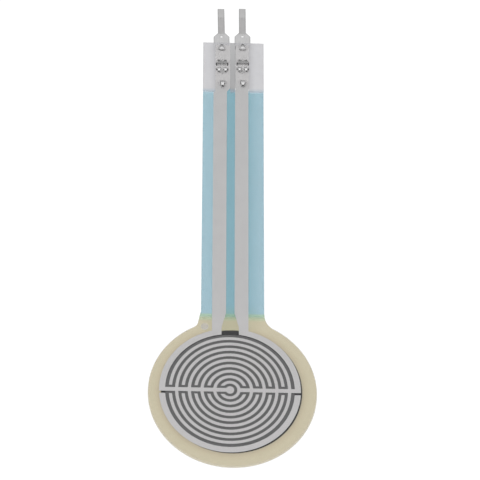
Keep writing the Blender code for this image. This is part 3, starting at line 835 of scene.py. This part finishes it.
# %% Blue coat material
BLUE_SIDE = (0.262, 0.431, 0.507, 1.0)
BLUE_DEEP = (0.128, 0.313, 0.380, 1.0)
DEEP_MIDDLE = PRINT_MIDDLE.x + 0.45 * MM
DEEP_HALF_WIDTH = 0.5 * MM
DEEP_SOFT = 2.8 * MM
GREEN_LAP = (0.335, 0.475, 0.365, 1.0)
GREEN_DEEP = (0.226, 0.374, 0.280, 1.0)
GREEN_END = NECK_Y - 0.15 * MM
GREEN_SOFT = 0.30 * MM
TEAL_STAIN = (1.0, 0.985, 0.84, 1.0)
TEAL_SOFT = 1.3 * MM
COAT_ALPHA = 0.7
COAT_FADE = 0.42 * MM


def coat_tone(tree, place):
    """Blue, deepest in the middle strip, and green over the adhesive."""
    x, y, _ = axis_values(tree, place)
    from_middle = calculate(tree, "ABSOLUTE", calculate(tree, "SUBTRACT", x, DEEP_MIDDLE))
    deep = band_mask(tree, from_middle, -BEYOND, DEEP_HALF_WIDTH, DEEP_SOFT)
    blue = blend_colour(tree, deep, BLUE_SIDE, BLUE_DEEP)
    near_lap = band_mask(tree, y, -BEYOND, NECK_Y, TEAL_SOFT)
    blue = stain_and_shade(tree, blue, times(tree, near_lap, deep), TEAL_STAIN)
    green = blend_colour(tree, deep, GREEN_LAP, GREEN_DEEP)
    return blend_colour(tree, band_mask(tree, y, -BEYOND, GREEN_END, GREEN_SOFT), blue, green)


def thin_out(material):
    """Makes a coat translucent, thinner still at its start, and clear to light."""
    tree = material.node_tree
    y = axis_values(tree, object_place(tree))[1]
    full = band_mask(tree, y, COAT_START + COAT_FADE, BEYOND, COAT_FADE)
    cover = seen_only(tree, times(tree, full, COAT_ALPHA))
    plug(tree, cover, tree.nodes["Principled BSDF"].inputs["Alpha"])


blue_coat = printed_ink(
    "blue_coat",
    coat_tone,
    roughness=0.45,
    metallic=0.0,
    specular=0.08,
    grain_size=0.12 * MM,
    contrast=0.06,
    pinholes=0.03,
)
thin_out(blue_coat)
dress("tail_coat", blue_coat)

# %% [markdown]
# ## Tinned contacts
# The contacts are stamped from brass strip that was tin plated. Each one sits a little
# crooked, so its marks are placed from the middle of its crown and square to its tab.
# The tines were driven through the film. Where they leave it, under their lower tips and
# in the torn corners of their slots the metal is painted dark: painted shade. Stretches
# of the upper tines of each crown and of the two end tines get painted shade as well.
# The far tip and the feet of the upper tines face the light and get a painted highlight.

# %% Where a contact is marked
# Painted shade in the torn corners round each crown.
TEAR_X = (0.60 * MM, 0.70 * MM, 0.03 * MM)
TEAR_Y = (0.18 * MM, 0.48 * MM, 0.03 * MM)
TEAR_SHADE = 0.93
# Painted shadow under the lower tips, as small dark round spots.
TIP_SHADOW_SPOTS = (
    ((-0.395 * MM, -0.79 * MM, 0), 0.05 * MM),
    ((0.395 * MM, -0.79 * MM, 0), 0.05 * MM),
    ((0, -2.84 * MM, 0), 0.08 * MM),
)
TIP_SHADOW_SOFT = 0.08 * MM
TIP_SHADOW_DEPTH = 0.88


def contact_place(tree, crown, lean):
    """The place on a contact, from the middle of its crown and square to its tab."""
    inputs = {0: object_place(tree), 1: crown}
    offset = add_node(tree, "VectorMath", inputs, operation="SUBTRACT")
    inputs = {"Vector": offset.outputs[0], "Angle": -lean}
    return add_node(tree, "VectorRotate", inputs, rotation_type="Z_AXIS").outputs[0]


def torn_corner_shade(tree, x, y):
    """Painted shade in the four torn corners round a crown."""
    across = band_mask(tree, calculate(tree, "ABSOLUTE", x), *TEAR_X)
    along = band_mask(tree, calculate(tree, "ABSOLUTE", y), *TEAR_Y)
    return times(tree, across, along)


def tip_shadow_mask(tree, place):
    """Small dark round spots of painted shadow under the lower tips."""
    shadow_spots = [circle_mask(tree, place, middle, radius, TIP_SHADOW_SOFT) for middle, radius in TIP_SHADOW_SPOTS]
    return any_of(tree, *shadow_spots)


print(f"Crowns {(CROWN_RIGHT.x - CROWN_LEFT.x) / MM:.2f} mm apart, {len(TIP_SHADOW_SPOTS)} pits at each")

# %% [markdown]
# ### Dark and bright marks on the tines
# The painted shade and the painted highlights are bands along the contact and bands of
# height, given as a start, an end and a soft edge. The painted shade is darkest at the
# film, except at the far tip and at the open side of the upper tines. The upper end tine
# narrows to its tip, so the painted shade beside it starts nearer to its middle line
# further out.

# %% Marks on the tines
AT_FILM_Z = (FILM_TOP - 0.03 * MM, FILM_TOP + 0.02 * MM, 0.07 * MM)
FILM_SHADE = 0.55
RISER_Y = (0.12 * MM, 0.26 * MM, 0.04 * MM)
FOOT_Z = (0, FILM_TOP + 0.1 * MM, 0.04 * MM)
FAR_TIP_Y = (2.98 * MM, 3.20 * MM, 0.06 * MM)
FAR_TIP_Z = (FILM_TOP - 0.02 * MM, BEYOND, 0.02 * MM)
HIGHLIGHT_GAIN = 0.45
SHADED_Z = (FILM_TOP + 0.14 * MM, BEYOND, 0.05 * MM)
SHADED_SOFT = 0.06 * MM
SHADED_AREAS = (
    (0.20 * MM, 1.10 * MM, 0.44),
    (0.26 * MM, 0.40 * MM, 0.20),
    (2.45 * MM, 2.95 * MM, 0.18),
    (-2.28 * MM, -1.90 * MM, 0.34),
)
END_TINE_Y = (2.45 * MM, 2.93 * MM, 0.05 * MM)
END_TINE_TAPER = 0.38
BESIDE_X = (0.20 * MM, BEYOND, 0.06 * MM)
BESIDE_SHADE = 0.45


def shaded_stretches(tree, dark, y, z):
    """Adds painted shade on stretches of the tines above the film."""
    above = band_mask(tree, z, *SHADED_Z)
    for start, end, depth in SHADED_AREAS:
        area = band_mask(tree, y, start, end, SHADED_SOFT)
        dark = calculate(tree, "ADD", dark, times(tree, above, area, depth))
    return dark


def beside_end_tine(tree, x, y):
    """Painted shade along the sides of the upper end tine, which narrows to its tip."""
    from_start = calculate(tree, "SUBTRACT", y, END_TINE_Y[0])
    narrowing = times(tree, from_start, END_TINE_TAPER)
    reach = calculate(tree, "ADD", calculate(tree, "ABSOLUTE", x), narrowing)
    beside = band_mask(tree, reach, *BESIDE_X)
    return times(tree, beside, band_mask(tree, y, *END_TINE_Y), BESIDE_SHADE)


def tine_marks(tree, place):
    """How much painted shade darkens the metal; under 0, how much a painted highlight lightens it.
    """
    x, y, z = axis_values(tree, place)
    riser = band_mask(tree, y, *RISER_Y)
    far_tip = times(tree, band_mask(tree, y, *FAR_TIP_Y), band_mask(tree, z, *FAR_TIP_Z))
    at_film = times(tree, band_mask(tree, z, *AT_FILM_Z), FILM_SHADE, inverted(tree, far_tip))
    dark = less(tree, at_film, times(tree, riser, FILM_SHADE))
    dark = shaded_stretches(tree, dark, y, z)
    tip_shadows = times(tree, tip_shadow_mask(tree, place), TIP_SHADOW_DEPTH)
    torn = torn_corner_shade(tree, x, y)
    tears = times(tree, torn, TEAR_SHADE)
    dark = any_of(tree, dark, beside_end_tine(tree, x, y), tip_shadows, tears)
    foot = times(tree, riser, band_mask(tree, z, *FOOT_Z), inverted(tree, torn))
    painted_highlight = times(tree, any_of(tree, far_tip, foot), HIGHLIGHT_GAIN)
    return calculate(tree, "SUBTRACT", dark, painted_highlight)


# Each of these stretches is painted shade on the tines.
print(len(SHADED_AREAS), "scraped stretches on each contact")

# %% [markdown]
# ### The contact's material
# Rolling and plating leave fine lines along the strip. The tabs are painted darker over
# most of their length and lighter at their tips: a painted reflection of the slight
# change of tilt at the tip. The edges of the blank were cut by shearing and rolled over;
# the darker line round it, also along the sloping shoulders, is painted shade of that
# rolled edge. The material is a full metal with a satin face, so its tone comes from
# what it reflects.

# %% Tinned contact material
TIN = (0.53, 0.528, 0.53, 1.0)
DIM_TAB_TIN = (0.435, 0.430, 0.430, 1.0)
LIT_TIP_TIN = (0.485, 0.482, 0.482, 1.0)
TAB_START = TAIL_END + 1.5 * MM
TIP_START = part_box("left_contact")[1].y - 1.35 * MM
TAB_SOFT = 0.25 * MM
HALF_TAB = 0.39 * MM
HALF_PLATE = 0.915 * MM
SHOULDER_START = 4.30 * MM
SHOULDER_END = 4.85 * MM
SHEARED_WIDTH = 0.08 * MM
SHEARED_SHADE = 0.13
TIN_ROUGHNESS = 0.34
ROLLED_DEPTH = 0.0015 * MM


def rolled_edge_shade(tree, x, y):
    """Painted shade on the rolled-over edge of the blank, along its sloping shoulders."""
    inputs = {0: y, 1: SHOULDER_START, 2: SHOULDER_END, 3: HALF_PLATE, 4: HALF_TAB}
    half_width = add_node(tree, "MapRange", inputs).outputs[0]
    inside = calculate(tree, "SUBTRACT", calculate(tree, "ABSOLUTE", x), half_width)
    return band_mask(tree, inside, -SHEARED_WIDTH, BEYOND, SHEARED_WIDTH)


def tin_colour(tree, y, crown):
    """Tin with a painted reflection: darker over most of the tab and lighter at its tip."""
    tip = band_mask(tree, y, TIP_START - crown.y, BEYOND, TAB_SOFT)
    dim_tab = band_mask(tree, y, TAB_START - crown.y, TIP_START - crown.y, TAB_SOFT)
    colour = blend_colour(tree, tip, TIN, LIT_TIP_TIN)
    return blend_colour(tree, dim_tab, colour, DIM_TAB_TIN)


def tinned_contact(name, crown, lean):
    """Tin plated brass, rubbed along the strip."""
    material, tree, shader = new_material(name)
    place = contact_place(tree, crown, lean)
    x, y, _ = axis_values(tree, place)
    lines = use_group(
        tree,
        rubbed_lines,
        {"Place": place, "Line Width": 0.03 * MM, "Line Length": 1.2 * MM, "Contrast": 0.25},
    )
    fine = use_group(tree, grain, {"Place": place, "Grain Size": 0.05 * MM, "Contrast": 0.12})
    cloud = use_group(tree, grain, {"Place": place, "Grain Size": 0.6 * MM, "Contrast": 0.22})
    marks = inverted(tree, tine_marks(tree, place))
    rolled_shade = inverted(tree, times(tree, rolled_edge_shade(tree, x, y), SHEARED_SHADE))
    tone = times(tree, lines["Tone"], fine["Tone"], cloud["Tone"], marks, rolled_shade)
    plug(tree, tinted(tree, tin_colour(tree, y, crown), tone), shader.inputs["Base Color"])
    shader.inputs["Metallic"].default_value = 1.0
    plug(tree, times(tree, lines["Tone"], TIN_ROUGHNESS), shader.inputs["Roughness"])
    plug(tree, relief(tree, lines["Height"], ROLLED_DEPTH), shader.inputs["Normal"])
    return material


dress("left_contact", tinned_contact("left_tin", CROWN_LEFT, LEAN_LEFT))
dress("right_contact", tinned_contact("right_tin", CROWN_RIGHT, LEAN_RIGHT))

# %% [markdown]
# ## Floor
# The part lies flat on a plain pale floor, a hair below its underside. The floor's own
# colour is a dark grey, and most of its white is a glow, so the shadow of this thin
# part stays faint on it.

# %% Floor
FLOOR_SIZE = 3.0
FLOOR_DROP = 0.01 * MM
FLOOR_COLOUR = (0.16, 0.16, 0.16, 1.0)
FLOOR_ROUGHNESS = 0.9
FLOOR_GLOW = 0.88


def pale_floor():
    """A plain pale floor, just under the part."""
    mesh = bpy.data.meshes.new("floor")
    shape = bmesh.new()
    bmesh.ops.create_grid(
        shape,
        x_segments=1,
        y_segments=1,
        size=FLOOR_SIZE / 2,
        matrix=Matrix.Translation((0, 0, -FLOOR_DROP)),
    )
    shape.to_mesh(mesh)
    shape.free()
    floor = bpy.data.objects.new("floor", mesh)
    bpy.context.scene.collection.objects.link(floor)
    material, _, shader = new_material("pale_floor")
    shader.inputs["Base Color"].default_value = FLOOR_COLOUR
    shader.inputs["Roughness"].default_value = FLOOR_ROUGHNESS
    shader.inputs["Specular IOR Level"].default_value = 0.0
    shader.inputs["Emission Color"].default_value = WHITE
    shader.inputs["Emission Strength"].default_value = FLOOR_GLOW
    mesh.materials.append(material)


pale_floor()
print(f"Floor {FLOOR_SIZE} m across")

# %% [markdown]
# ## Soft light
# The light is soft and comes from all round: a bright sky above that falls off towards
# the horizon, so that curved metal has something darker to reflect, and one large lamp
# that gives the tines a side. The brightest part of the sky leans a little towards the
# head. The standard view transform shows a colour as it is, which keeps the floor white.

# %% Sky and lamp
SKY_TOP = 1.7
SKY_LOW = 0.22
SKY_FALL = 1.15
SKY_LEAN = math.radians(20)
LAMP_POWER = 1.3
LAMP_SIZE = 0.5
LAMP_PLACE = Vector((-0.35, 0.1, 0.6))


def soft_sky():
    """Even light from above, a little weaker towards the horizon."""
    world = bpy.data.worlds.new("soft_sky")
    bpy.context.scene.world = world
    world.use_nodes = True
    tree = world.node_tree
    background = tree.nodes["Background"]
    direction = add_node(tree, "TexCoord").outputs["Generated"]
    _, y, z = axis_values(tree, direction)
    up = times(tree, z, math.cos(SKY_LEAN))
    up = less(tree, up, times(tree, y, math.sin(SKY_LEAN)))
    rise = calculate(tree, "POWER", up, SKY_FALL)
    level = calculate(tree, "ADD", times(tree, rise, SKY_TOP - SKY_LOW), SKY_LOW)
    plug(tree, level, background.inputs["Strength"])
    background.inputs["Color"].default_value = WHITE


def soft_lamp(target):
    """One large lamp aimed at the part."""
    light = bpy.data.lights.new("soft_lamp", "AREA")
    light.size = LAMP_SIZE
    light.energy = LAMP_POWER
    lamp = bpy.data.objects.new("soft_lamp", light)
    bpy.context.scene.collection.objects.link(lamp)
    lamp.location = LAMP_PLACE
    lamp.rotation_euler = (target - LAMP_PLACE).to_track_quat("-Z", "Y").to_euler()


bpy.context.scene.view_settings.view_transform = "Standard"
soft_sky()
soft_lamp(Vector((0, TAIL_END / 2, 0)))
print(f"Sky from {SKY_LOW} to {SKY_TOP}, one lamp of {LAMP_POWER} W")

# %% [markdown]
# ## Camera
# The photograph looks down at the part from the side of its head, with the tail
# pointing up the picture and the camera rolled by a few degrees. The values below
# were fitted to the circles and straight edges that show. The distance is long and
# so is the lens, so there is little perspective.

# %% Camera
AZIMUTH = math.radians(-3.07)
ELEVATION = math.radians(57.55)
ROLL = math.radians(3.72)
DISTANCE = 358 * MM
LENS = 241.1
SENSOR_WIDTH = 36
NEAREST = 0.01
FURTHEST = 10
TARGET = Vector((0.795 * MM, 19.514 * MM, 0.27 * MM))


def photo_camera():
    """A camera at the photograph's angle, distance and framing."""
    back = Vector(
        (
            math.sin(AZIMUTH) * math.cos(ELEVATION),
            -math.cos(AZIMUTH) * math.cos(ELEVATION),
            math.sin(ELEVATION),
        )
    )
    right = Vector((math.cos(AZIMUTH), math.sin(AZIMUTH), 0))
    up = back.cross(right)
    axis_x = math.cos(ROLL) * right + math.sin(ROLL) * up
    axis_y = -math.sin(ROLL) * right + math.cos(ROLL) * up
    turn = Matrix((axis_x, axis_y, back)).transposed().to_4x4()
    lens = bpy.data.cameras.new("photo_camera")
    lens.lens = LENS
    lens.sensor_width = SENSOR_WIDTH
    lens.clip_start = NEAREST
    lens.clip_end = FURTHEST
    camera = bpy.data.objects.new("photo_camera", lens)
    bpy.context.scene.collection.objects.link(camera)
    camera.matrix_world = Matrix.Translation(TARGET + DISTANCE * back) @ turn
    bpy.context.scene.camera = camera


photo_camera()
print("Camera in place, lens", LENS, "mm")
